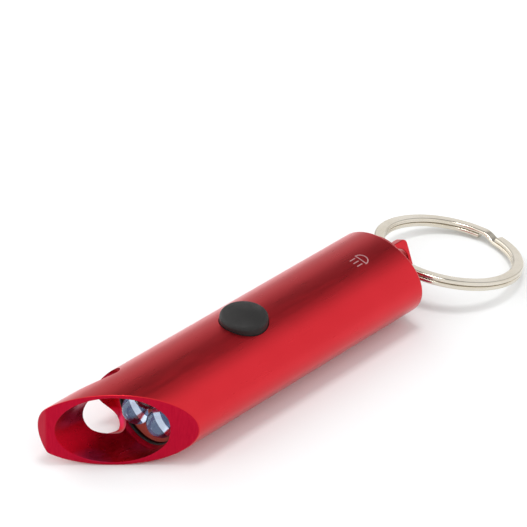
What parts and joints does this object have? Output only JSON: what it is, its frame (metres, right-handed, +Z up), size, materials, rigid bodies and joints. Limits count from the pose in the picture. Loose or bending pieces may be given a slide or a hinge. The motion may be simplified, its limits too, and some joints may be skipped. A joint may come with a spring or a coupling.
{
  "type": "keychain flashlight",
  "caption": "Slim oval metal pocket light with a slanted opener mouth round its lamp, a side push button and a split key ring on a screwed tail plug.",
  "frame": {"origin": "centre of the bottom of the whole object's box, on the surface that it lies on", "axes": "+X along the tube from the slanted mouth to the key ring, +Z up through the push button, -Y on the side that the mouth opens to"},
  "size_m": [0.0954, 0.0252, 0.0147],
  "materials": {
    "red_anodised": "satin red anodised",
    "black_rubber": "matte",
    "button_rubber": "fine matte texture",
    "nickel_plate": "bright nickel plating",
    "spring_steel": "drawn wire",
    "cell_steel": "plated",
    "contact_brass": "stamped",
    "salmon_plastic": "matte",
    "black_plastic": "moulded",
    "circuit_board": "solder mask",
    "led_resin": "clear, polished",
    "red_insulation": "smooth",
    "black_insulation": "smooth",
    "blue_film": "shrink film"
  },
  "bodies": {
    "barrel": {"barrel": "red_anodised", "lamp_seal": "black_rubber", "lamp_plate": "salmon_plastic", "led_1": "led_resin", "led_2": "led_resin", "led_3": "led_resin", "led_board": "circuit_board", "led_resistor": "black_plastic", "core_upper": "black_plastic", "core_lower": "black_plastic", "switch_board": "circuit_board", "switch_body": "black_plastic", "switch_cover": "cell_steel", "switch_dome": "cell_steel", "lead_red": "red_insulation", "lead_black": "black_insulation", "front_contact": "contact_brass", "cell_1": "cell_steel", "cell_2": "cell_steel", "cell_3": "cell_steel", "cell_sleeve": "blue_film"},
    "push_button": {"push_button": "button_rubber"},
    "switch_stem": {"switch_stem": "black_plastic"},
    "tail_seal": {"tail_seal": "black_rubber"},
    "tail_plug": {"tail_plug": "red_anodised", "tail_spring": "spring_steel"},
    "key_ring": {"split_ring": "nickel_plate"}
  },
  "joints": [
    {"name": "button_press", "type": "slide", "parent": "barrel", "child": "push_button", "axis": [0, 0, -1], "range_m": [0, 0.0008], "stiffness_N_per_m": 1500, "springref_m": -0.0003},
    {"name": "stem_press", "type": "slide", "parent": "barrel", "child": "switch_stem", "axis": [0, 0, -1], "range_m": [0, 0.0008]},
    {"name": "plug_travel", "type": "slide", "parent": "barrel", "child": "tail_seal", "axis": [1, 0, 0], "range_m": [0, 0.003]},
    {"name": "plug_turn", "type": "hinge", "parent": "tail_seal", "child": "tail_plug", "pos_m": [0.01974, 0.00115, 0.00651], "axis": [1, 0, 0], "range_deg": [0, 1440]},
    {"name": "ring_swing", "type": "hinge", "parent": "tail_plug", "child": "key_ring", "pos_m": [0.02384, 0.00115, 0.00606], "axis": [0, -1, 0], "range_deg": [-75, 100]}
  ],
  "couplings": [
    {"joint": "stem_press", "follows": "button_press", "ratio": 1},
    {"joint": "plug_travel", "follows": "plug_turn", "m_per_rad": 0.00011936}
  ]
}
